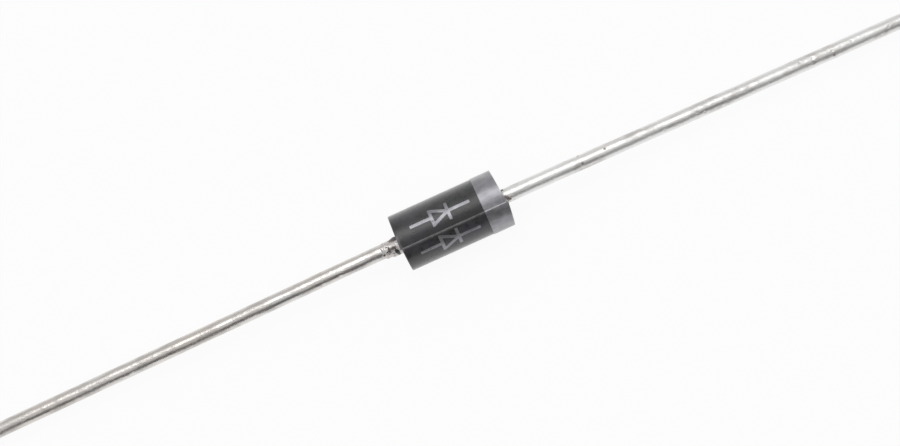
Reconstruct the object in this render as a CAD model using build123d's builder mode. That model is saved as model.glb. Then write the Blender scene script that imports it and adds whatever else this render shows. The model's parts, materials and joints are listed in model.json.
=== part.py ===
from build123d import *
from math import cos, radians, sin, sqrt, tan
import os

# Axial rectifier diode lying on its body, in millimetres and degrees.
# X runs along the wires towards the cathode band, Y is across them and Z is up.
# The origin is on the wires' axis, at the middle of the body.

# Moulded body
body_diameter = 3.4
body_length = 6.6  # along the parting line, where it is longest
anode_end_draft = 2.0
cathode_end_draft = 5.5
edge_radius = 0.05
mould_shift = 0.08  # how far one half of the mould lies out of line with the other
parting_roll = 29.5  # how far the parting plane leans from upright
witness_width = 0.10
witness_height = 0.02

# Resin that bled out of the mould along the anode wire, thickest at the body and with a bead at its end
bleed_length = 0.95
bleed_root = 0.065
bleed_bead = 0.04
bleed_tip = 0.015
bleed_sag = 0.06  # how far its root hangs off the middle of the wire
bleed_lean = 18.0  # how far below level, on the near side, it hangs

# Wires
wire_diameter = 0.86
wire_length = 27.0  # outside the body
wire_droop = 1.85  # how far each wire hangs below level, bent by handling
droop_radius = 50.0
droop_distance = 1.15  # from the end of the bled resin to the middle of the bend
cut_bevel = 0.04
head_diameter = 1.6
head_thickness = 0.35
head_taper = 0.25  # length of the cone that runs from the head into the wire
collar_height = 0.18  # how far the collar stands out of the wire
collar_distance = 1.4  # from the head to the middle of the collar

# Chip and what it is sealed and soldered with
chip_width = 1.3
chip_thickness = 0.26
chip_bevel = 20.0
solder_diameter = 1.05
solder_thickness = 0.06
coating_thickness = 0.30  # over the rims of the heads
coating_reach = 0.25  # along the rims of the heads
coating_bevel = 0.22

# Cathode band
band_width = 1.42
ink_thickness = 0.03

body_radius = body_diameter / 2
half_length = body_length / 2
wire_radius = wire_diameter / 2
head_face = chip_thickness / 2 + solder_thickness
head_back = head_face + head_thickness

# The mould's own view: x along the wires, y the way it opens, z along the parting plane
mould_plan = Plane.XY.rotated((parting_roll, 0, 0))


def section_plane(x):
    """The plane across the wires at x, with its own y axis in the parting plane."""
    return Plane.YZ.offset(x).rotated((parting_roll, 0, 0))


def moulded_half(side, radius):
    """One half of the moulding, drafted from the parting plane as its half of the mould leaves it."""
    middle = -side * mould_shift / 2
    with BuildPart() as half:
        with BuildSketch(mould_plan):
            with BuildLine():
                Polyline(
                    (middle - half_length, 0),
                    (middle + half_length, 0),
                    (middle + half_length - radius * tan(radians(cathode_end_draft)), side * radius),
                    (middle - half_length + radius * tan(radians(anode_end_draft)), side * radius),
                    close=True,
                )
            make_face()
        extrude(amount=radius, both=True)
        Cylinder(radius, 2 * body_length, rotation=(0, 90, 0), mode=Mode.INTERSECT)
    return half.part


def witness_ridges(radius):
    """The fine ridge along each side, where resin crept between the halves of the mould."""
    length = body_length - mould_shift - 2 * edge_radius
    peak = radius + witness_height
    flank = peak - sqrt(radius**2 - (witness_width / 2) ** 2)
    with BuildPart() as ridges:
        with BuildSketch(section_plane(-length / 2)):
            with BuildLine():
                Polyline(
                    (0, peak),
                    (witness_width, peak - 2 * flank),
                    (-witness_width, peak - 2 * flank),
                    close=True,
                )
            make_face()
            mirror(about=Plane.XZ)
        extrude(amount=length)
    return ridges.part


def rounded_half(side):
    """A half of the body with the edges of its ends rounded."""
    with BuildPart() as half:
        add(moulded_half(side, body_radius))
        barrel = half.faces().filter_by(GeomType.CYLINDER).sort_by(SortBy.AREA)[-1]
        fillet(barrel.edges().filter_by(GeomType.LINE, reverse=True), edge_radius)
    return half.part


# Outer form of the moulding, before anything inside it is taken away
with BuildPart() as moulding:
    add(rounded_half(1))
    add(rounded_half(-1))
    add(witness_ridges(body_radius))

    # How far out along the wire, how thick on it, and how far it hangs off it, as shares of each
    bleed_stations = [
        (-0.20, bleed_root, 1.0),
        (0.10, bleed_root, 1.0),
        (0.45, bleed_root * 0.7, 0.8),
        (0.70, bleed_bead * 0.7, 0.3),
        (0.88, bleed_bead, 0.4),
        (1.00, bleed_tip, 0.1),
    ]
    bleed_hang = Vector(-bleed_sag, 0).rotate(Axis.Z, bleed_lean)
    for out, thickness, hang in bleed_stations:
        with BuildSketch(Plane.YZ.offset(-half_length - out * bleed_length)):
            with Locations(bleed_hang * hang):
                Circle(wire_radius + thickness)
    loft()


def wire_path(side):
    """Centre line of a wire: level out of its head, then bent down a little."""
    bend = half_length + bleed_length + droop_distance
    tail = half_length + wire_length - bend
    return FilletPolyline(
        (side * head_face, 0, 0),
        (side * bend, 0, 0),
        (side * (bend + tail * cos(radians(wire_droop))), 0, -tail * sin(radians(wire_droop))),
        radius=droop_radius,
    )


def headed_wire(side):
    """A wire with its nail head and its anchoring collar, upset from the wire itself."""
    with BuildPart() as wire:
        with BuildLine():
            wire_path(side)
        with BuildSketch(Plane.YZ.offset(side * head_face)):
            Circle(wire_radius)
        sweep()
        cut_end = wire.faces().sort_by(Axis.X)[-1 if side > 0 else 0]
        chamfer(cut_end.edges(), cut_bevel)

        with BuildSketch(Plane.XZ):
            with BuildLine():
                Polyline(
                    (side * head_face, 0),
                    (side * head_face, head_diameter / 2),
                    (side * head_back, head_diameter / 2),
                    (side * (head_back + head_taper), wire_radius),
                    (side * (head_back + head_taper), 0),
                    close=True,
                )
            make_face()
        with BuildSketch(Plane.XZ):
            with Locations((side * (head_back + collar_distance), wire_radius)):
                RegularPolygon(collar_height, 6, major_radius=False)
        revolve(axis=Axis.X)
    return wire.part


# Anode wire
with BuildPart() as anode_lead:
    add(headed_wire(-1))

# Cathode wire
with BuildPart() as cathode_lead:
    add(headed_wire(1))

# Chip, with its wide face to the cathode
with BuildPart() as silicon_die:
    with BuildSketch(Plane.YZ.offset(-chip_thickness / 2)):
        Rectangle(chip_width, chip_width)
    extrude(amount=chip_thickness, taper=chip_bevel)
    mirror(about=Plane.YZ, mode=Mode.REPLACE)

# Solder between the chip and each head
with BuildPart() as anode_solder:
    with BuildSketch(Plane.YZ.offset(-head_face)):
        Circle(solder_diameter / 2)
    extrude(amount=solder_thickness)

with BuildPart() as cathode_solder:
    with BuildSketch(Plane.YZ.offset(chip_thickness / 2)):
        Circle(solder_diameter / 2)
    extrude(amount=solder_thickness)

# Silicone round the chip's edges and over the rims of the heads
with BuildPart() as junction_coating:
    with BuildSketch(Plane.XZ):
        reach = head_face + coating_reach
        rim = head_diameter / 2
        with BuildLine():
            Polyline(
                (-reach, 0),
                (-reach, rim),
                (-reach + coating_bevel, rim + coating_thickness),
                (reach - coating_bevel, rim + coating_thickness),
                (reach, rim),
                (reach, 0),
                close=True,
            )
        make_face()
    revolve(axis=Axis.X)
    for piece in (anode_lead, cathode_lead, anode_solder, cathode_solder, silicon_die):
        add(piece.part, mode=Mode.SUBTRACT)

# Moulded body, closed on everything inside it
with BuildPart() as epoxy_body:
    add(moulding.part)
    for piece in (anode_lead, cathode_lead, anode_solder, cathode_solder, silicon_die, junction_coating):
        add(piece.part, mode=Mode.SUBTRACT)

# Printed band round the cathode end, which follows the body's edge and its witness line
with BuildPart() as cathode_band:
    for side in (1, -1):
        add(moulded_half(side, body_radius + ink_thickness))
    add(witness_ridges(body_radius + ink_thickness))
    split(bisect_by=Plane.YZ.offset(half_length - band_width), keep=Keep.TOP)
    add(moulding.part, mode=Mode.SUBTRACT)

os.makedirs("parts", exist_ok=True)
pieces = {
    "epoxy_body": epoxy_body,
    "anode_lead": anode_lead,
    "cathode_lead": cathode_lead,
    "cathode_band": cathode_band,
    "silicon_die": silicon_die,
    "anode_solder": anode_solder,
    "cathode_solder": cathode_solder,
    "junction_coating": junction_coating,
}
for name, piece in pieces.items():
    piece.part.label = name
    export_step(piece.part, f"parts/{name}.step")
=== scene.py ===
import json
import math

import bmesh
import bpy
from mathutils import Matrix, Vector, noise


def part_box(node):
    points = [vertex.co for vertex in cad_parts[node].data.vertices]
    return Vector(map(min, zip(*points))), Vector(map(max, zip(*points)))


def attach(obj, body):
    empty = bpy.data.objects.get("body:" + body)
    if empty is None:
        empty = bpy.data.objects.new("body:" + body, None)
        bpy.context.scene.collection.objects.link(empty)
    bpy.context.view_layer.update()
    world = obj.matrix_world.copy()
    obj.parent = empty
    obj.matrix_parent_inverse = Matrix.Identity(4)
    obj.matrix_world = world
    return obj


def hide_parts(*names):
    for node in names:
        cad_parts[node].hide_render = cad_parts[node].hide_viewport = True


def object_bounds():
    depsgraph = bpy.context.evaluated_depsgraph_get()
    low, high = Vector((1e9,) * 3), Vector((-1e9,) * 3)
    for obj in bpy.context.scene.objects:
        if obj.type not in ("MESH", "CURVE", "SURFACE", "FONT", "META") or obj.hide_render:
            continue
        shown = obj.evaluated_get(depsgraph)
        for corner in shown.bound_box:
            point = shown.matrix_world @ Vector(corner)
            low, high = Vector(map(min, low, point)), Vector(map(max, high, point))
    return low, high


# Axial rectifier diode lying on its body on a pale table, in metres.
# X runs along the wires towards the cathode band, Y is across them and Z is up.

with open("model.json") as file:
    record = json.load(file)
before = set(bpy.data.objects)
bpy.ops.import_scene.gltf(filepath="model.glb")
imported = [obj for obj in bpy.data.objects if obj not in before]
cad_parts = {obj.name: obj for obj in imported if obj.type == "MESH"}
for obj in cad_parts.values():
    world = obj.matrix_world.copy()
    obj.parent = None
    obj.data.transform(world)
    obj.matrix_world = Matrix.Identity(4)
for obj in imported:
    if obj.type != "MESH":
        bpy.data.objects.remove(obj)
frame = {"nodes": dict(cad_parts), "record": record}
cad_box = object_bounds()

MM = 0.001
MICRON = 0.000001

# How the photograph looks at it
view_elevation = math.radians(72.0)
wires_rise = math.radians(24.4)  # how far the wires climb to the right in the picture
picture_scale = 0.05714 * MM  # one pixel of the photograph, at the body
body_right_of_middle = 1.9  # pixels
body_above_middle = 2.7  # pixels
lens = 100.0
sensor = 36.0
picture_width = 900

# Mould
parting_roll = math.radians(29.5)  # how far the parting plane leans from upright, towards the front
mould_shift = 0.08 * MM  # how far one half of the mould lies out of line with the other
anode_end_draft = math.radians(2.0)
cathode_end_draft = math.radians(5.5)
flash_bead = 0.028 * MM
flash_ring_spacing = 0.04 * MM
flash_segments = 8
flash_end_margin = 0.1 * MM  # how far it stops short of the moulding's ends

# Drawn and tinned wires
wire_ring_spacing = 0.05 * MM
wire_segments = 56
buried_end = 3.0 * MM  # the new wire's skin starts this far from the middle, inside the body
cut_bevel = 0.04 * MM
wave_height = 24 * MICRON
drawing_line_height = 5 * MICRON
nick_radius = 0.11 * MM
nick_depth = 22 * MICRON
anode_nick_density = 180000.0  # on a square metre
cathode_nick_density = 420000.0
anode_nick_seed = 3
cathode_nick_seed = 8

# Dark spots on the cathode wire: how far along it and how large in millimetres, and how far round from the
# side that faces the camera towards its underside in degrees
wire_spots = [(8.05, 0.10, -72.0), (8.12, 0.12, 14.0), (9.62, 0.12, -22.0), (23.85, 0.13, 34.0)]

# Resin that crept out along the wires
creep_segments = 72
creep_ring_spacing = 0.012 * MM
creep_roughness = 9 * MICRON
creep_smooth_below = 0.03 * MM  # where it is thinner than this, it gets smoother as it thins

# Where it is, along each wire: how far out, how thick, and how far it hangs off the wire, in millimetres
anode_creep = [
    (-0.15, 0.070, 0.060),
    (0.10, 0.070, 0.060),
    (0.43, 0.051, 0.048),
    (0.67, 0.033, 0.018),
    (0.84, 0.045, 0.024),
    (0.95, 0.020, 0.006),
    (1.10, -0.012, 0.0),
]
cathode_creep = [(-0.15, 0.010, 0.0), (0.01, -0.008, 0.0), (0.08, -0.022, 0.0), (0.34, -0.036, 0.0)]

# Where its lumps stand: how far out, how far round from the side that faces the camera towards the underside
# in degrees, how high, and how far each spreads along in millimetres and round in degrees
anode_lumps = [
    (0.12, -84.0, 0.085, 0.24, 30.0),
    (0.30, -20.0, 0.025, 0.12, 26.0),
    (0.45, 84.0, 0.050, 0.20, 34.0),
    (0.86, 70.0, 0.045, 0.06, 14.0),
    (1.02, -30.0, 0.026, 0.06, 20.0),
    (1.05, 40.0, 0.028, 0.08, 16.0),
]
cathode_lumps = [
    (0.06, 26.0, 0.055, 0.14, 28.0),
    (0.22, 38.0, 0.050, 0.07, 14.0),
    (0.0, -70.0, 0.030, 0.05, 22.0),
]

# Its patches on the anode wire: how far out, how far below the wire's middle line as the camera sees it, and
# their reach along and across, in millimetres. The dark ones are dark resin, and the wedge at the top by the
# body
# face is painted shade in that corner as well. The pale ones are pale resin, apart from two painted
# highlights:
# the glint on top of the wire and the lit rim beside the body face.
dark_and_shade_patches = [
    # Dark resin, and painted shade in the corner by the body face
    (0.18, -0.44, 0.32, 0.19),
    (0.60, 0.07, 0.09, 0.22),
    (0.38, 0.06, 0.22, 0.09),
    (0.99, 0.24, 0.10, 0.07),
]
pale_and_highlight_patches = [
    (0.76, -0.07, 0.08, 0.34),
    # Painted highlight: the glint on top of the wire
    (0.27, -0.13, 0.18, 0.08),
    (0.30, 0.27, 0.24, 0.08),
    # Painted highlight: the lit rim beside the body face
    (0.03, -0.05, 0.09, 0.50),
]

# Printed mark, a diode's own symbol read towards the band
mark_length = 3.7 * MM
mark_height = 1.08 * MM
mark_stroke = 0.185 * MM
mark_middle = -0.5 * MM
mark_symbol_reach = 0.47  # from its middle to its bar and to its triangle's base, as a share of its height
mark_angles = (-20.7, 34.8)  # degrees round the body from the line that faces the camera
mark_corner_points = 3
mark_subdivisions = 4
ink_height = 8 * MICRON
ink_corner = 0.035 * MM
ink_raggedness = 0.016 * MM

# Table
table_reach = 0.5
table_white = 0.86
table_glow = 0.93  # how much of what the camera sees of it is plain white

# Room, dark towards the front
room_light = 0.66
dark_light = 0.12
dark_lean = math.radians(75.0)  # from straight up to the middle of the dark part
dark_core = math.radians(22.0)  # as dark as it gets within this of its middle
dark_edge = math.radians(42.0)

# Lamp overhead
lamp_tilt = math.radians(13.0)  # from straight up, towards the back
lamp_distance = 0.30
lamp_size = 0.19
lamp_power = 0.190

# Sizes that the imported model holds
band_low, band_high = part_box("cathode_band")
band_radius = band_high.y
body_face = band_high.x
body_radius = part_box("epoxy_body")[1].y
wire_mount = next(m for m in frame["record"]["mounts"] if m["name"] == "cathode_wire")
wire_radius = wire_mount["dims"]["r_mm"] * MM
table_height = cad_box[0].z

# The wires' bend: they run level as far as it, and straight beyond it, where the pin's own record lies
droop = math.asin(-wire_mount["axis"][2])
half_straight = wire_mount["dims"]["length_mm"] * MM / 2
bend_end_x = wire_mount["pos_m"][0] - half_straight * math.cos(droop)
bend_end_z = wire_mount["pos_m"][2] + half_straight * math.sin(droop)
bend_radius = -bend_end_z / (1 - math.cos(droop))
bend_start = bend_end_x - bend_radius * math.sin(droop)
straight_length = 2 * half_straight + cut_bevel
wire_tip = bend_start + bend_radius * droop + straight_length  # measured along the wire
cut_reach = bend_end_x * math.cos(droop) - bend_end_z * math.sin(droop) + straight_length  # on its own line

# Directions: towards the camera, down the picture across the wires, and square to the parting plane
facing = Vector((0, -math.cos(view_elevation), math.sin(view_elevation)))
facing_roll = math.pi / 2 - view_elevation
near_side = Vector((0, -math.cos(facing_roll), -math.sin(facing_roll)))
mould_opening = Vector((0, math.cos(parting_roll), math.sin(parting_roll)))


class Field:
    """One output of a node. Arithmetic on it adds Math nodes, and node() adds any other node."""

    def __init__(self, tree, socket=None):
        self.tree = tree
        self.socket = socket

    def node(self, kind, settings=None, inputs=None, output=0):
        """A node of that type: its settings first, then a value or a link for each input."""
        made = self.tree.nodes.new(kind)
        for name, value in (settings or {}).items():
            setattr(made, name, value)
        for name, value in (inputs or {}).items():
            if isinstance(value, Field):
                self.tree.links.new(value.socket, made.inputs[name])
            else:
                made.inputs[name].default_value = value
        return Field(self.tree, made.outputs[output]) if made.outputs else None

    def other(self, output):
        """Another output of the same node."""
        return Field(self.tree, self.socket.node.outputs[output])

    def math(self, operation, *others, clamp=False):
        """What a Math node makes of this number and any others."""
        settings = {"operation": operation, "use_clamp": clamp}
        return self.node("ShaderNodeMath", settings, dict(enumerate((self, *others))))

    def __add__(self, other):
        return self.math("ADD", other)

    __radd__ = __add__

    def __sub__(self, other):
        return self.math("SUBTRACT", other)

    def __rsub__(self, other):
        return -self + other

    def __mul__(self, other):
        return self.math("MULTIPLY", other)

    def __truediv__(self, other):
        return self.math("DIVIDE", other)

    def __neg__(self):
        return self * -1

    def clamped(self):
        """This number held between 0 and 1."""
        return self.math("ADD", 0.0, clamp=True)

    def smooth_between(self, low, high):
        """0 below low, 1 above high, and a smooth rise between them."""
        settings = {"interpolation_type": "SMOOTHSTEP"}
        return self.node("ShaderNodeMapRange", settings, {"Value": self, "From Min": low, "From Max": high})

    def mixed(self, first, second):
        """A number that goes from first to second as this one goes from 0 to 1."""
        return self.node("ShaderNodeMix", {"data_type": "FLOAT"}, {0: self, 2: first, 3: second})

    def blended(self, first, second):
        """A colour that goes from first to second as this goes from 0 to 1."""
        settings = {"data_type": "RGBA", "blend_type": "MIX"}
        return self.node("ShaderNodeMix", settings, {0: self, 6: first, 7: second}, output=2)

    def with_vector(self, operation, vector, output=0):
        """What a Vector Math node makes of this place and a vector."""
        return self.node("ShaderNodeVectorMath", {"operation": operation}, {0: self, 1: vector}, output)

    def stretched(self, x, y, z):
        """This place with each direction scaled, as a pattern's own coordinates."""
        return self.with_vector("MULTIPLY", (x, y, z))

    def towards(self, way):
        """How far this place lies from the origin in a direction."""
        return self.with_vector("DOT_PRODUCT", way, "Value")

    def distance(self, spot):
        """How far this place is from a spot."""
        return self.with_vector("DISTANCE", spot, "Value")

    def off_axis(self):
        """How far this place is from the line through the middle of the body."""
        return self.stretched(0, 1, 1).distance((0, 0, 0))

    def parts(self):
        """The x, y and z of this place."""
        split = self.node("ShaderNodeSeparateXYZ", inputs={0: self})
        return split, split.other(1), split.other(2)

    def noise(self, scale, detail=2.0, roughness=0.5):
        """Soft noise around this place, from 0 to 1."""
        inputs = {"Vector": self, "Scale": scale, "Detail": detail, "Roughness": roughness}
        return self.node("ShaderNodeTexNoise", inputs=inputs)

    def cells(self, scale, output="Distance"):
        """Scattered cells around this place: how far its own cell's middle is, or another output."""
        return self.node("ShaderNodeTexVoronoi", inputs={"Vector": self, "Scale": scale}, output=output)


def rgb(red, green, blue):
    """A colour as the nodes take it."""
    return (red, green, blue, 1.0)


def empty_nodes(owner):
    """The node tree of a material or a world, cleared for its own nodes."""
    owner.use_nodes = True
    owner.node_tree.nodes.clear()
    return Field(owner.node_tree)


def finish_of(name, paint, fixed):
    """A material: its paint function gets the place in millimetres and says what changes over the surface."""
    made = bpy.data.materials.new(name)
    place = empty_nodes(made).node("ShaderNodeTexCoord", output="Object")
    place = place.stretched(1 / MM, 1 / MM, 1 / MM)
    changing = paint(place)
    inputs = {"Base Color": changing["colour"], "Roughness": changing["roughness"], **fixed}
    if "metallic" in changing:
        inputs["Metallic"] = changing["metallic"]
    inputs["Normal"] = place.node(
        "ShaderNodeBump",
        inputs={"Height": changing["height"], "Distance": changing["depth"], "Strength": 1.0},
    )
    shader = place.node("ShaderNodeBsdfPrincipled", inputs=inputs)
    place.node("ShaderNodeOutputMaterial", inputs={"Surface": shader})
    return made


def painted_shade_strip(place):
    """1 on a strip beside the witness line, on one half of the moulding, where a darker colour is painted as
    shade; there is less of it towards the anode end.
    """
    uneven = place.stretched(0.5, 1, 1).noise(3.0, detail=4, roughness=0.65)
    off_plane = place.towards(mould_opening) + (uneven - 0.5) * 0.3
    strip = off_plane.smooth_between(0.02, 0.14) * off_plane.smooth_between(0.62, 0.36)
    x, _, _ = place.parts()
    return strip * x.smooth_between(-2.7, -1.7).mixed(0.4, 1.0)


def parting_line(place):
    """1 on the witness line at the front and at the back of the moulding, fading out beside it."""
    drawn_out = place.stretched(1, 0.2, 0.2)
    wander = (drawn_out.noise(1.6) - 0.5) * 0.04 + 0.02
    width = 0.08 + drawn_out.noise(4.0) * 0.05
    off_line = (place.towards(mould_opening) + wander).math("ABSOLUTE")
    line = (1 - off_line / width).smooth_between(0.0, 0.9)
    broken = drawn_out.noise(2.6, detail=4, roughness=0.7).smooth_between(0.32, 0.6).mixed(0.35, 1.0)
    return line * broken * place.off_axis().smooth_between(0.9, 1.2)


def worn_rims_and_lip_highlight(place):
    """1 on the edges of the moulding's ends, rubbed pale in places, and on the resin's lip at the anode, on
    its side towards the camera, where the pale colour is a painted highlight.
    """
    x, _, _ = place.parts()
    off_plane = place.towards(mould_opening)
    depth = off_plane.math("ABSOLUTE")
    along = x + off_plane.math("SIGN") * (mould_shift / 2 / MM)
    half_length = (body_face - mould_shift / 2) / MM
    from_anode = half_length + along - depth * math.tan(anode_end_draft)
    from_cathode = half_length - along - depth * math.tan(cathode_end_draft)
    rim = place.off_axis().smooth_between(body_radius / MM - 0.12, body_radius / MM - 0.04)
    broken = place.noise(3.2, detail=4, roughness=0.7)
    near_end = from_anode.math("MINIMUM", from_cathode).smooth_between(0.09, 0.01)
    rubbed = broken.smooth_between(0.40, 0.66) * near_end
    beside_wire = place.towards(near_side).math("ABSOLUTE").smooth_between(0.56, 0.36)
    # Painted highlight: the lip beside the anode wire, on its side towards the camera
    lip = beside_wire * place.towards(facing).smooth_between(0.0, 0.4)
    lip = lip * (from_anode + (broken - 0.5) * 0.15).smooth_between(0.22, 0.02)
    return rim * rubbed.math("MAXIMUM", lip * 1.6)


def epoxy_paint(place):
    """Filled epoxy: almost black, satin and mottled, with a moulded grain, filler and a witness line."""
    clouds = place.noise(0.9, detail=3)
    mottle = place.noise(4.2, detail=5, roughness=0.62)
    grain = place.noise(22.0, detail=3, roughness=0.6)
    pits = place.cells(9.0).smooth_between(0.05, 0.18)
    filler = place.cells(16.0).smooth_between(0.13, 0.05) * place.noise(3.0).smooth_between(0.45, 0.65)
    rubbed = place.stretched(0.5, 1, 1).noise(2.2, detail=5, roughness=0.7).smooth_between(0.54, 0.72)
    smudges = place.noise(1.7, detail=4, roughness=0.62).smooth_between(0.42, 0.64)
    base = clouds.smooth_between(0.35, 0.65).blended(rgb(0.010, 0.013, 0.011), rgb(0.023, 0.017, 0.028))
    base = (smudges * 0.6).blended(base, rgb(0.036, 0.034, 0.039))
    base = (mottle.smooth_between(0.42, 0.68) * 0.8).blended(base, rgb(0.032, 0.031, 0.035))
    base = (rubbed * 0.45).blended(base, rgb(0.062, 0.060, 0.066))
    base = (filler * 0.5).blended(base, rgb(0.15, 0.15, 0.16))
    # Painted shade: a darker strip just above the witness line
    base = (painted_shade_strip(place) * 0.7).blended(base, rgb(0.009, 0.006, 0.010))
    # Pale rubbed rims, and a painted highlight on the anode lip
    base = (worn_rims_and_lip_highlight(place) * 0.55).blended(base, rgb(0.15, 0.145, 0.15))
    base = (parting_line(place) * 0.8).blended(base, rgb(0.15, 0.142, 0.148))
    return {
        "colour": base,
        "roughness": 0.22 + mottle * 0.12 + rubbed * 0.12 + smudges * 0.08,
        "height": mottle * 0.8 + grain * 0.35 + clouds * 0.5 + pits * 0.25,
        "depth": 10 * MICRON,
    }


def silver_ink_paint(worn_from, worn_to):
    """Silver-grey ink: fine flakes in a grey binder, worn through in places, where the epoxy shows."""

    def paint(place):
        flakes = place.cells(34.0, output="Color").node("ShaderNodeSeparateColor")
        streaks = place.stretched(0.9, 2.4, 2.4).noise(1.4, detail=4)
        patches = place.noise(1.3, detail=4, roughness=0.6)
        worn = place.noise(5.5, detail=6, roughness=0.72).smooth_between(worn_from, worn_to)
        base = flakes.blended(rgb(0.252, 0.252, 0.273), rgb(0.342, 0.342, 0.364))
        base = (streaks.smooth_between(0.38, 0.62) * 0.55).blended(base, rgb(0.205, 0.205, 0.225))
        base = (patches.smooth_between(0.46, 0.64) * 0.6).blended(base, rgb(0.40, 0.39, 0.42))
        base = (worn * 0.85).blended(base, rgb(0.035, 0.035, 0.040))
        # Pale rubbed rims, and a painted highlight on the anode lip
        base = (worn_rims_and_lip_highlight(place) * 0.4).blended(base, rgb(0.50, 0.49, 0.50))
        base = (parting_line(place) * 0.5).blended(base, rgb(0.40, 0.39, 0.40))
        return {
            "colour": base,
            "roughness": worn.mixed(0.30 + flakes * 0.10, 0.5),
            "metallic": worn.mixed(0.88, 0.0),
            "height": place.noise(22.0, detail=3) * 0.7 + flakes * 0.3 - worn * 0.6,
            "depth": 6 * MICRON,
        }

    return paint


def tinned_paint(pale, warm, frost, dull, spots):
    """Hot-dipped tin on a drawn wire: semi-bright, streaked along it, frosted in patches and spotted."""

    def paint(place):
        lines = place.stretched(0.25, 9, 9).noise(1.0, detail=4, roughness=0.6)
        patches = place.stretched(0.35, 1, 1).noise(0.8, detail=4, roughness=0.6)
        frosted = patches.smooth_between(0.62 - frost, 0.78 - frost)
        hue = place.stretched(0.3, 1, 1).noise(0.5, detail=2)
        tarnish = place.stretched(0.5, 1, 1).noise(1.5, detail=4, roughness=0.65).smooth_between(0.40, 0.66)
        stain = place.stretched(0.5, 1, 1).noise(2.6, detail=5, roughness=0.75).smooth_between(0.64, 0.78)
        for along, size, turn in spots:
            angle = math.radians(turn)
            middle = Vector((along, 0, (bend_end_z - (along * MM - bend_end_x) * math.tan(droop)) / MM))
            spot = middle + (facing * math.cos(angle) + near_side * math.sin(angle)) * (wire_radius / MM)
            stain = stain.math("MAXIMUM", place.distance(spot).smooth_between(size, size * 0.3) * 1.3)
        base = hue.smooth_between(0.35, 0.65).blended(pale, warm)
        base = (lines.smooth_between(0.4, 0.75) * 0.5).blended(base, rgb(0.58, 0.56, 0.535))
        base = (tarnish * 0.5).blended(base, rgb(0.44, 0.42, 0.40))
        base = frosted.blended(base, rgb(0.87, 0.87, 0.86))
        base = (stain * 0.65).blended(base, rgb(0.28, 0.26, 0.245))
        x, _, z = place.parts()
        reach = x.math("ABSOLUTE") * math.cos(droop) - z * math.sin(droop)
        copper = reach.smooth_between(cut_reach / MM - 0.008, cut_reach / MM - 0.003)
        return {
            "colour": (copper * lines.smooth_between(0.25, 0.5)).blended(base, rgb(0.72, 0.38, 0.24)),
            "roughness": frosted.mixed(dull + lines * 0.10 + tarnish * 0.12, dull + 0.13) + stain * 0.12,
            "height": lines * 0.6 + place.noise(9.0, detail=4, roughness=0.6) * 0.5 + tarnish * 1.3,
            "depth": 8 * MICRON,
        }

    return paint


def patchwork(out, below, patches, ragged):
    """1 inside the patches, which have ragged edges, and 0 outside them."""
    inside = ragged * 0
    for middle, low, reach, spread in patches:
        along = (out - middle) / reach
        across = (below - low) / spread
        apart = (along * along + across * across).math("SQRT") + ragged
        inside = inside.math("MAXIMUM", apart.smooth_between(1.2, 0.6))
    return inside


def crept_paint(thin, brown, dark_and_shade_spots, pale_and_highlight_spots):
    """Resin with little filler: glossy and thin, so the tin shines through, and brown where it's thick; its
    dark patches are in part painted shade, and two pale ones are painted highlights.
    """

    def paint(place):
        x, _, _ = place.parts()
        out = x.math("ABSOLUTE") - body_face / MM
        below = place.towards(near_side)
        blotches = place.noise(3.6, detail=4, roughness=0.65)
        fine = place.noise(15.0, detail=3)
        ragged = (blotches - 0.5) * 1.2
        thick = (blotches - 0.5).smooth_between(0.06, 0.2) * 0.5
        # Dark patches: dark resin, and painted shade in the corner by the body face
        thick = thick.math("MAXIMUM", patchwork(out, below, dark_and_shade_spots, ragged))
        # Pale patches: pale resin, and painted highlights
        white = patchwork(out, below, pale_and_highlight_spots, ragged) * 0.9
        base = (fine.smooth_between(0.4, 0.7) * 0.4).blended(thin, rgb(0.74, 0.70, 0.68))
        base = white.blended(base, rgb(0.90, 0.86, 0.85))
        return {
            "colour": thick.blended(base, brown),
            "roughness": 0.24 + fine * 0.12,
            "metallic": thick.math("MAXIMUM", white).mixed(0.75, 0.0),
            "height": fine,
            "depth": 6 * MICRON,
        }

    return paint


def silicon_paint(place):
    """Lapped silicon, dark blue-grey, with fine lapping marks."""
    lapping = place.stretched(1, 6, 0.4).noise(12.0, detail=3)
    return {
        "colour": lapping.blended(rgb(0.14, 0.15, 0.19), rgb(0.24, 0.26, 0.31)),
        "roughness": 0.25 + lapping * 0.2,
        "height": lapping,
        "depth": 3 * MICRON,
    }


def solder_paint(place):
    """High-lead solder, dull, with the grain that it freezes in."""
    grain = place.cells(9.0)
    return {
        "colour": grain.blended(rgb(0.56, 0.56, 0.58), rgb(0.40, 0.40, 0.43)),
        "roughness": 0.35 + grain * 0.25,
        "height": grain,
        "depth": 8 * MICRON,
    }


def silicone_paint(place):
    """Cured white silicone, satin and slightly uneven."""
    uneven = place.noise(2.5, detail=2)
    return {
        "colour": uneven.blended(rgb(0.70, 0.70, 0.67), rgb(0.80, 0.80, 0.77)),
        "roughness": 0.40 + uneven * 0.15,
        "height": uneven,
        "depth": 20 * MICRON,
    }


satin_bloom = {"Sheen Weight": 1.0, "Sheen Roughness": 0.42}
epoxy = finish_of("moulded_epoxy", epoxy_paint, {"IOR": 1.58, **satin_bloom})
band_ink = finish_of("silver_band_ink", silver_ink_paint(0.66, 0.78), {"IOR": 1.5, **satin_bloom})
mark_ink = finish_of("silver_mark_ink", silver_ink_paint(0.58, 0.72), {"IOR": 1.5})
# Its patches hold painted shade and painted highlights as well as the resin's own colours
anode_resin = finish_of(
    "anode_crept_resin",
    crept_paint(rgb(0.66, 0.62, 0.60), rgb(0.13, 0.108, 0.102), dark_and_shade_patches, pale_and_highlight_patches),
    {"IOR": 1.6},
)
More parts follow.
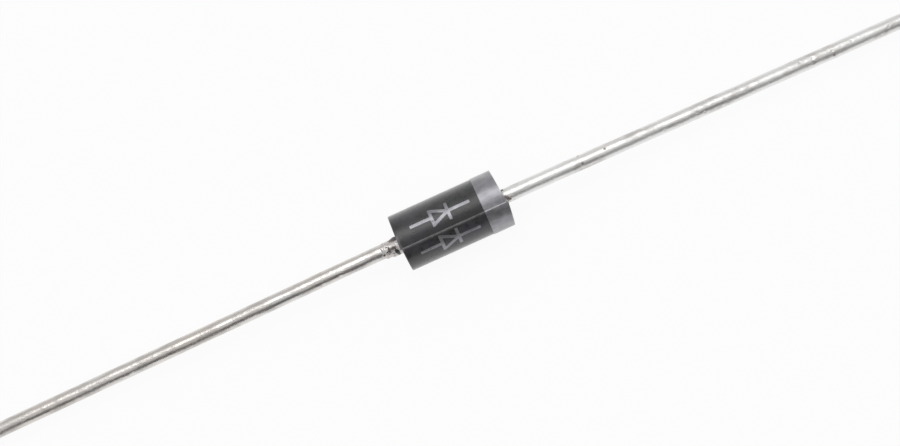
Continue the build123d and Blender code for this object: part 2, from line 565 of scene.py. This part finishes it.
# Dark resin at the cathode wire's root; its dark colour is also painted shade under the root
cathode_resin_and_shade = finish_of(
    "cathode_resin_and_root_shade",
    crept_paint(rgb(0.20, 0.17, 0.16), rgb(0.06, 0.05, 0.048), [], []),
    {"IOR": 1.6},
)
anode_tin = finish_of(
    "anode_wire_tin",
    tinned_paint(rgb(0.77, 0.75, 0.73), rgb(0.72, 0.67, 0.63), 0.0, 0.24, []),
    {"Metallic": 1.0},
)
cathode_tin = finish_of(
    "cathode_wire_tin",
    tinned_paint(rgb(0.87, 0.86, 0.85), rgb(0.90, 0.88, 0.86), 0.18, 0.32, wire_spots),
    {"Metallic": 1.0},
)
silicon = finish_of("lapped_silicon", silicon_paint, {"Metallic": 0.4})
solder = finish_of("dull_solder", solder_paint, {"Metallic": 1.0})
silicone = finish_of("white_silicone", silicone_paint, {"Subsurface Weight": 0.2})


NUMBER, WHOLE, MATERIAL = "NodeSocketFloat", "NodeSocketInt", "NodeSocketMaterial"


def placed(name, data):
    """An object at the origin that holds this mesh, curve, camera or lamp."""
    made = bpy.data.objects.new(name, data)
    bpy.context.scene.collection.objects.link(made)
    return made


def piece(name, mesh):
    """An object at the origin that shows a mesh of its own name."""
    mesh.name = name
    return placed(name, mesh)


def mesh_of(work, name):
    """The mesh that a bmesh has built, which is then let go."""
    mesh = bpy.data.meshes.new(name)
    work.to_mesh(mesh)
    work.free()
    return mesh


class Maker:
    """A Geometry Nodes tree with named inputs, which turns a starting mesh or curve into a finished mesh."""

    def __init__(self, name, inputs):
        self.tree = bpy.data.node_groups.new(name, "GeometryNodeTree")
        self.tree.interface.new_socket("Geometry", in_out="INPUT", socket_type="NodeSocketGeometry")
        self.tree.interface.new_socket("Geometry", in_out="OUTPUT", socket_type="NodeSocketGeometry")
        self.identifiers = {}
        for label, kind in inputs.items():
            socket = self.tree.interface.new_socket(label, in_out="INPUT", socket_type=kind)
            self.identifiers[label] = socket.identifier
        self.start = Field(self.tree).node("NodeGroupInput", output="Geometry")

    def value(self, label):
        """One of the tree's named inputs."""
        return self.start.other(label)

    def node(self, *given, **named):
        """A node of the tree, as Field makes it."""
        return self.start.node(*given, **named)

    def place_in_mm(self):
        """Each point's place in millimetres, for its noise."""
        return self.node("GeometryNodeInputPosition").stretched(1 / MM, 1 / MM, 1 / MM)

    def path(self, rings, place):
        """A curve with that many points, each at its place."""
        line = self.node("GeometryNodeMeshLine", {"mode": "OFFSET"}, {"Count": rings})
        line = self.node("GeometryNodeMeshToCurve", inputs={"Mesh": line})
        return self.node("GeometryNodeSetPosition", inputs={"Geometry": line, "Position": place})

    def swept(self, path, radius, segments, scale):
        """A closed round skin along a curve, thicker and thinner as its scale says."""
        inputs = {"Resolution": segments, "Radius": radius}
        ring = self.node("GeometryNodeCurvePrimitiveCircle", inputs=inputs)
        inputs = {"Curve": path, "Profile Curve": ring, "Scale": scale, "Fill Caps": True}
        return self.node("GeometryNodeCurveToMesh", inputs=inputs)

    def around(self, x, radius, roll):
        """A place so far along the body's axis, out from it, and round it from the top to the front."""
        inputs = {0: x, 1: -(radius * roll.math("SINE")), 2: radius * roll.math("COSINE")}
        return self.node("ShaderNodeCombineXYZ", inputs=inputs)

    def end(self, geometry):
        """Closes the tree: its result is real geometry in the material that the maker is given."""
        real = self.node("GeometryNodeRealizeInstances", inputs={"Geometry": geometry})
        inputs = {"Geometry": real, "Material": self.value("Finish")}
        painted = self.node("GeometryNodeSetMaterial", inputs=inputs)
        self.node("NodeGroupOutput", inputs={"Geometry": painted})

    def make(self, name, data, **sizes):
        """The finished piece: data run through the tree with these sizes, as a plain mesh at the origin."""
        blank = placed(name + "_blank", data)
        grown = blank.modifiers.new("maker", "NODES")
        grown.node_group = self.tree
        for label, value in sizes.items():
            grown[self.identifiers[label.replace("_", " ").capitalize()]] = value
        bpy.context.view_layer.update()
        seen = blank.evaluated_get(bpy.context.evaluated_depsgraph_get())
        mesh = bpy.data.meshes.new_from_object(seen)
        bpy.data.objects.remove(blank)
        return piece(name, mesh)


def wire_maker():
    """Sweeps a wire's skin along its bend, pulls drawing lines and waves into it, and dents it with nicks."""
    maker = Maker(
        "drawn_wire",
        {
            "Side": NUMBER,
            "Wire radius": NUMBER,
            "Start": NUMBER,
            "Length": NUMBER,
            "Rings": WHOLE,
            "Bend start": NUMBER,
            "Bend radius": NUMBER,
            "Droop": NUMBER,
            "End bevel": NUMBER,
            "Wave height": NUMBER,
            "Line height": NUMBER,
            "Nick density": NUMBER,
            "Nick radius": NUMBER,
            "Nick depth": NUMBER,
            "Seed": WHOLE,
            "Finish": MATERIAL,
        },
    )
    index = maker.node("GeometryNodeInputIndex")
    rings, droop, bend_radius = maker.value("Rings"), maker.value("Droop"), maker.value("Bend radius")

    # Along the wire: level as far as the bend, then an arc, then straight on at the droop
    along = maker.value("Start") + index * (maker.value("Length") / (rings - 1))
    bend_start = maker.value("Bend start")
    bend_length = bend_radius * droop
    turned = ((along - bend_start) / bend_length).clamped() * droop
    beyond = (along - bend_start - bend_length).math("MAXIMUM", 0.0)
    reach = along.math("MINIMUM", bend_start) + bend_radius * turned.math("SINE")
    reach = reach + beyond * droop.math("COSINE")
    drop = bend_radius * (1 - turned.math("COSINE")) + beyond * droop.math("SINE")
    place = maker.node("ShaderNodeCombineXYZ", inputs={0: maker.value("Side") * reach, 2: -drop})

    # Its skin, with the bevel that the cutter leaves on the last ring
    radius = maker.value("Wire radius")
    last = index.math("COMPARE", rings - 1, 0.5)
    share = 1 - last * (maker.value("End bevel") / radius)
    skin = maker.swept(maker.path(rings, place), radius, wire_segments, share)

    # Nicks, slow waves and drawing lines
    nicks = maker.node(
        "GeometryNodeDistributePointsOnFaces",
        {"distribute_method": "RANDOM"},
        {"Mesh": skin, "Density": maker.value("Nick density"), "Seed": maker.value("Seed")},
    )
    nearest = maker.node(
        "GeometryNodeProximity", {"target_element": "POINTS"}, {"Geometry": nicks}, output="Distance"
    )
    spot = maker.place_in_mm()
    size = maker.value("Nick radius") * (0.6 + spot.noise(0.7) * 0.9)
    dented = (1 - nearest / size).smooth_between(0.0, 0.8) * maker.value("Nick depth")
    waves = (spot.stretched(0.8, 1.6, 1.6).noise(0.9, detail=2) - 0.5) * maker.value("Wave height")
    lines = (spot.stretched(0.12, 7, 7).noise(1.0, detail=2) - 0.5) * maker.value("Line height")
    outwards = maker.node("GeometryNodeInputNormal")
    moved = maker.node(
        "ShaderNodeVectorMath", {"operation": "SCALE"}, {0: outwards, "Scale": waves + lines - dented}
    )
    skin = maker.node("GeometryNodeSetPosition", inputs={"Geometry": skin, "Offset": moved})
    skin = maker.node("GeometryNodeSetShadeSmooth", inputs={"Geometry": skin})

    # The lead's own head and collar, which the tree starts from, stay with it
    whole = maker.tree.nodes.new("GeometryNodeJoinGeometry")
    for part in (skin, maker.start):
        maker.tree.links.new(part.socket, whole.inputs[0])
    maker.end(Field(maker.tree, whole.outputs[0]))
    return maker


def buried_part(node, side):
    """The lead's own head, taper and collar inside the body, cut off where its new skin starts."""
    work = bmesh.new()
    work.from_mesh(frame["nodes"][node].data)
    bmesh.ops.remove_doubles(work, verts=work.verts, dist=MICRON)
    cut = bmesh.ops.bisect_plane(
        work,
        geom=work.verts[:] + work.edges[:] + work.faces[:],
        plane_co=(side * buried_end, 0, 0),
        plane_no=(side, 0, 0),
        clear_outer=True,
    )
    edges = [g for g in cut["geom_cut"] if isinstance(g, bmesh.types.BMEdge)]
    bmesh.ops.holes_fill(work, edges=edges, sides=0)
    bmesh.ops.recalc_face_normals(work, faces=work.faces)
    return mesh_of(work, node + "_head")


def drawn_wire(maker, name, node, side, finish, density, seed):
    """A wire that stands for its lead, along the same bend."""
    length = wire_tip - buried_end
    made = maker.make(
        name,
        buried_part(node, side),
        side=float(side),
        wire_radius=wire_radius,
        start=buried_end,
        length=length,
        rings=round(length / wire_ring_spacing) + 1,
        bend_start=bend_start,
        bend_radius=bend_radius,
        droop=droop,
        end_bevel=cut_bevel,
        wave_height=wave_height,
        line_height=drawing_line_height,
        nick_density=density,
        nick_radius=nick_radius,
        nick_depth=nick_depth,
        seed=seed,
        finish=finish,
    )
    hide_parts(node)
    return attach(made, "root")


def mark_outline():
    """The symbol's outlines, flat: its outside, and the open middle of its triangle."""
    half = mark_stroke / 2
    end = mark_length / 2
    top = mark_height / 2
    bar = mark_symbol_reach * mark_height
    base = -bar
    slope = (top - half) / (bar - base)  # of the triangle's long sides
    reach = half * math.sqrt(1 + slope * slope)  # half a long side's stroke, measured across the wires
    upper = [
        (-end, half),
        (base - half, half),
        (base - half, top),
        (base + (reach - half) / slope, top),
        (bar - half, half * slope + reach),
        (bar - half, top),
        (bar + half, top),
        (bar + half, half),
        (end, half),
    ]
    outside = upper + [(x, -y) for x, y in reversed(upper)]
    inside = top - half - reach
    middle = [
        (base + half, inside - half * slope),
        (base + half, half * slope - inside),
        (base + inside / slope, 0),
    ]
    return outside, middle


def flat_mark():
    """The symbol's outlines as closed curves."""
    curve = bpy.data.curves.new("flat_mark", "CURVE")
    curve.dimensions = "2D"
    for outline in mark_outline():
        spline = curve.splines.new("POLY")
        spline.points.add(len(outline) - 1)
        for point, (x, y) in zip(spline.points, outline):
            point.co = (x, y, 0, 1)
        spline.use_cyclic_u = True
    return curve


def mark_maker():
    """Fills a flat mark, repeats it round the body and wraps it on, as thin as ink."""
    maker = Maker(
        "wrapped_mark",
        {
            "Body radius": NUMBER,
            "Ink height": NUMBER,
            "Corner": NUMBER,
            "Middle": NUMBER,
            "First angle": NUMBER,
            "Angle step": NUMBER,
            "Rows": WHOLE,
            "Raggedness": NUMBER,
            "Finish": MATERIAL,
        },
    )
    radius, height = maker.value("Body radius"), maker.value("Ink height")
    rounded = maker.node(
        "GeometryNodeFilletCurve",
        {"mode": "POLY"},
        {
            "Curve": maker.start,
            "Count": mark_corner_points,
            "Radius": maker.value("Corner"),
            "Limit Radius": True,
        },
    )
    flat = maker.node("GeometryNodeFillCurve", {"mode": "TRIANGLES"}, {"Curve": rounded})
    flat = maker.node("GeometryNodeSubdivideMesh", inputs={"Mesh": flat, "Level": mark_subdivisions})
    thick = maker.node(
        "GeometryNodeExtrudeMesh",
        {"mode": "FACES"},
        {"Mesh": flat, "Offset Scale": height, "Individual": False},
    )
    step = maker.node("ShaderNodeCombineXYZ", inputs={1: radius * maker.value("Angle step")})
    first = maker.node(
        "ShaderNodeCombineXYZ", inputs={0: maker.value("Middle"), 1: radius * maker.value("First angle")}
    )
    rows = maker.node(
        "GeometryNodeMeshLine",
        {"mode": "OFFSET"},
        {"Count": maker.value("Rows"), "Start Location": first, "Offset": step},
    )
    repeated = maker.node("GeometryNodeInstanceOnPoints", inputs={"Points": rows, "Instance": thick})
    repeated = maker.node("GeometryNodeRealizeInstances", inputs={"Geometry": repeated})

    # y is how far round the body a point lies, and z how far it stands out of it
    ragged = maker.place_in_mm()
    nudge = maker.value("Raggedness")
    x, y, z = maker.node("GeometryNodeInputPosition").parts()
    x = x + (ragged.noise(9.0) - 0.5) * nudge
    angle = (y + (ragged.noise(8.0, detail=3) - 0.5) * nudge) / radius
    wrapped = maker.around(x, radius + z - height * 0.5, angle)
    printed = maker.node("GeometryNodeSetPosition", inputs={"Geometry": repeated, "Position": wrapped})
    maker.end(printed)
    return maker


def flash_maker():
    """Runs an uneven bead of flash along a witness line."""
    maker = Maker(
        "parting_flash",
        {
            "Start": NUMBER,
            "End": NUMBER,
            "Radius": NUMBER,
            "Roll": NUMBER,
            "Bead": NUMBER,
            "Rings": WHOLE,
            "Finish": MATERIAL,
        },
    )
    rings = maker.value("Rings")
    share = maker.node("GeometryNodeInputIndex") / (rings - 1)
    x = maker.value("Start") + (maker.value("End") - maker.value("Start")) * share
    place = maker.around(x, maker.value("Radius"), maker.value("Roll"))
    patchy = maker.place_in_mm().noise(2.4, detail=4, roughness=0.7)
    uneven = 0.45 + patchy.smooth_between(0.3, 0.7) * 0.75
    ends = (share.smooth_between(0.0, 0.03) * (1 - share).smooth_between(0.0, 0.03)).mixed(0.2, 1.0)
    flash = maker.swept(maker.path(rings, place), maker.value("Bead"), flash_segments, uneven * ends)
    flash = maker.node("GeometryNodeSetShadeSmooth", inputs={"Geometry": flash})
    maker.end(flash)
    return maker


def flash_along(maker, name, start, end, radius, roll, finish):
    """A bead of flash that rides on the body, half sunk in its witness ridge."""
    made = maker.make(
        name,
        bpy.data.meshes.new(name + "_start"),
        start=start,
        end=end,
        radius=radius,
        roll=roll,
        bead=flash_bead,
        rings=round(abs(end - start) / flash_ring_spacing),
        finish=finish,
    )
    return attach(made, "root")


def at_station(stations, out):
    """Thickness and hang at a place between two stations, all in millimetres."""
    for (near, *first), (far, *second) in zip(stations, stations[1:]):
        if out <= far:
            share = max(0.0, (out - near) / (far - near))
            share = share * share * (3 - 2 * share)
            return [a + (b - a) * share for a, b in zip(first, second)]
    return stations[-1][1:]


def lump_height(lumps, out, angle):
    """How high the lumps stand together at a place, in millimetres and degrees."""
    height = 0.0
    for place, turn, rise, spread, width in lumps:
        apart = (angle - turn + 180) % 360 - 180
        height += rise * math.exp(-(((out - place) / spread) ** 2) - (apart / width) ** 2)
    return height


def crept_resin(name, side, stations, lumps, finish):
    """Resin that crept out of the mould along a wire and set there in lumps."""
    work = bmesh.new()
    start, end = stations[0][0] * MM, stations[-1][0] * MM
    rings = []
    count = round((end - start) / creep_ring_spacing)
    for step in range(count + 1):
        out = start + (end - start) * step / count
        thickness, hang = at_station(stations, out / MM)
        middle = Vector((side * (body_face + out), 0, 0)) + near_side * hang * MM
        ring = []
        for turn in range(creep_segments):
            angle = 2 * math.pi * turn / creep_segments
            way = facing * math.cos(angle) + near_side * math.sin(angle)
            height = (thickness + lump_height(lumps, out / MM, math.degrees(angle))) * MM
            spot = middle + way * (wire_radius + height)
            rough = noise.noise(spot * (6 / MM)) + 0.6 * noise.noise(spot * (17 / MM))
            share = min(1.0, max(0.0, height / creep_smooth_below))
            ring.append(work.verts.new(spot + way * creep_roughness * rough * share))
        rings.append(ring)
    for first, second in zip(rings, rings[1:]):
        for turn in range(creep_segments):
            after = (turn + 1) % creep_segments
            work.faces.new((first[turn], first[after], second[after], second[turn]))
    work.faces.new(rings[0])
    work.faces.new(rings[-1])
    bmesh.ops.recalc_face_normals(work, faces=work.faces)
    mesh = mesh_of(work, name)
    mesh.polygons.foreach_set("use_smooth", [True] * len(mesh.polygons))
    mesh.materials.append(finish)
    made = piece(name, mesh)
    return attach(made, "root")


node_finishes = {
    "epoxy_body": epoxy,
    "cathode_band": band_ink,
    "silicon_die": silicon,
    "anode_solder": solder,
    "cathode_solder": solder,
    "junction_coating": silicone,
    "anode_lead": anode_tin,
    "cathode_lead": cathode_tin,
}
for node, finish in node_finishes.items():
    shown = frame["nodes"][node].data
    shown.materials.clear()
    shown.materials.append(finish)

wires = wire_maker()
drawn_wire(wires, "anode_wire", "anode_lead", -1, anode_tin, anode_nick_density, anode_nick_seed)
drawn_wire(wires, "cathode_wire", "cathode_lead", 1, cathode_tin, cathode_nick_density, cathode_nick_seed)

marks = mark_maker()
polarity_mark = marks.make(
    "polarity_mark",
    flat_mark(),
    body_radius=body_radius,
    ink_height=ink_height,
    corner=ink_corner,
    middle=mark_middle,
    first_angle=facing_roll + math.radians(mark_angles[0]),
    angle_step=math.radians(mark_angles[1] - mark_angles[0]),
    rows=len(mark_angles),
    raggedness=ink_raggedness,
    finish=mark_ink,
)
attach(polarity_mark, "root")

beads = flash_maker()
flash_reach = body_face - flash_end_margin
for side, roll in (("front", parting_roll), ("back", parting_roll + math.pi)):
    flash_along(beads, f"body_flash_{side}", -flash_reach, band_low.x, body_radius, roll, epoxy)
    flash_along(beads, f"band_flash_{side}", band_low.x, flash_reach, band_radius, roll, band_ink)

crept_resin("anode_crept_resin", -1, anode_creep, anode_lumps, anode_resin)
# Dark lumps at the cathode wire's root: resin, whose dark colour is also painted shade under the root
crept_resin("cathode_resin_and_root_shade", 1, cathode_creep, cathode_lumps, cathode_resin_and_shade)


def camera():
    """The photograph's view: from above the front, turned so that the wires climb to the right."""
    upright = Vector((0, math.sin(view_elevation), math.cos(view_elevation)))
    right = Vector((math.cos(wires_rise), 0, 0)) - upright * math.sin(wires_rise)
    up = Vector((math.sin(wires_rise), 0, 0)) + upright * math.cos(wires_rise)
    seen = bpy.data.cameras.new("camera")
    seen.lens, seen.sensor_width = lens, sensor
    seen.clip_start, seen.clip_end = 0.01, 10.0
    distance = picture_width * picture_scale * lens / sensor
    aim = -(right * body_right_of_middle + up * body_above_middle) * picture_scale
    made = placed("camera", seen)
    turn = Matrix((right, up, facing)).transposed().to_4x4()
    made.matrix_world = Matrix.Translation(aim + facing * distance) @ turn
    bpy.context.scene.camera = made


def seen_white(field):
    """1 for what the camera sees straight on, in a reflection or through glass."""
    straight = field.node("ShaderNodeLightPath", output="Is Camera Ray")
    seen = straight.math("MAXIMUM", straight.other("Is Glossy Ray"))
    return seen.math("MAXIMUM", straight.other("Is Transmission Ray"))


def table():
    """A white table top, which keeps a faint shadow of the diode."""
    work = bmesh.new()
    corners = [(-1, -1), (1, -1), (1, 1), (-1, 1)]
    work.faces.new([work.verts.new((x * table_reach, y * table_reach, table_height)) for x, y in corners])
    mesh = mesh_of(work, "table_top")
    made = bpy.data.materials.new("white_table")
    start = empty_nodes(made)
    lit = start.node("ShaderNodeBsdfDiffuse", inputs={"Color": rgb(table_white, table_white, table_white)})
    glow = start.node("ShaderNodeEmission", inputs={"Color": rgb(1, 1, 1), "Strength": 1.0})
    mixed = start.node("ShaderNodeMixShader", inputs={0: seen_white(start) * table_glow, 1: lit, 2: glow})
    start.node("ShaderNodeOutputMaterial", inputs={"Surface": mixed})
    mesh.materials.append(made)
    piece("table_top", mesh)


def studio():
    """A pale room that is dark towards the front, and one soft lamp overhead."""
    world = bpy.data.worlds.new("studio")
    start = empty_nodes(world)
    way = start.node("ShaderNodeTexCoord", output="Generated")
    towards_dark = way.towards((0, -math.sin(dark_lean), math.cos(dark_lean)))
    dark = towards_dark.smooth_between(math.cos(dark_edge), math.cos(dark_core))
    camera_ray = start.node("ShaderNodeLightPath", output="Is Camera Ray")
    strength = camera_ray.mixed(dark.mixed(room_light, dark_light), 1.0)
    back = start.node("ShaderNodeBackground", inputs={"Color": rgb(1, 1, 1), "Strength": strength})
    start.node("ShaderNodeOutputWorld", inputs={"Surface": back})
    bpy.context.scene.world = world

    light = bpy.data.lights.new("softbox", "AREA")
    light.shape = "DISK"
    light.size = lamp_size
    light.energy = lamp_power
    softbox = placed("softbox", light)
    softbox.location = Vector((0, math.sin(lamp_tilt), math.cos(lamp_tilt))) * lamp_distance
    softbox.rotation_euler = (-lamp_tilt, 0, 0)


camera()
table()
studio()
bpy.context.scene.view_settings.view_transform = "Standard"
